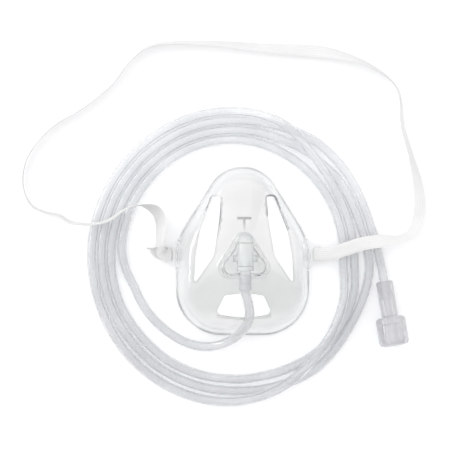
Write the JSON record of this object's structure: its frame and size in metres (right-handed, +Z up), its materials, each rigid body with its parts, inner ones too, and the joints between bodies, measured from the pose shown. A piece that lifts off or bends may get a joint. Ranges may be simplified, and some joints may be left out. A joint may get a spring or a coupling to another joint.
{
  "type": "oxygen face mask",
  "caption": "Clear open oxygen mask lying face up, with a domed nozzle, a coiled clear tube round it, a push-on end connector and a flat white elastic strap.",
  "frame": {"origin": "on the table, under the middle of the mask's outline and ears", "axes": "+Y towards the nose end of the mask, +Z up out of the mask's front, +X to the right seen from above"},
  "size_m": [0.2654, 0.2421, 0.0452],
  "materials": {
    "clear_plastic": "clear soft moulded plastic, glossy",
    "clear_diffuser": "clear moulded plastic, glossy",
    "clear_nozzle": "clear tinted moulded plastic, glossy",
    "clear_vinyl": "clear soft vinyl, glossy",
    "soft_connector": "translucent soft vinyl, satin",
    "woven_elastic": "white woven elastic"
  },
  "bodies": {
    "root": {"mask_shell": "clear_plastic", "diffuser_cup": "clear_diffuser", "diffuser_pin": "clear_diffuser", "nozzle_elbow": "clear_nozzle", "tubing_cuff": "clear_vinyl", "tubing_lead": "clear_vinyl", "tubing_coil": "clear_vinyl", "tubing_tail": "clear_vinyl", "end_connector": "soft_connector", "elastic_strap": "woven_elastic"}
  },
  "joints": []
}
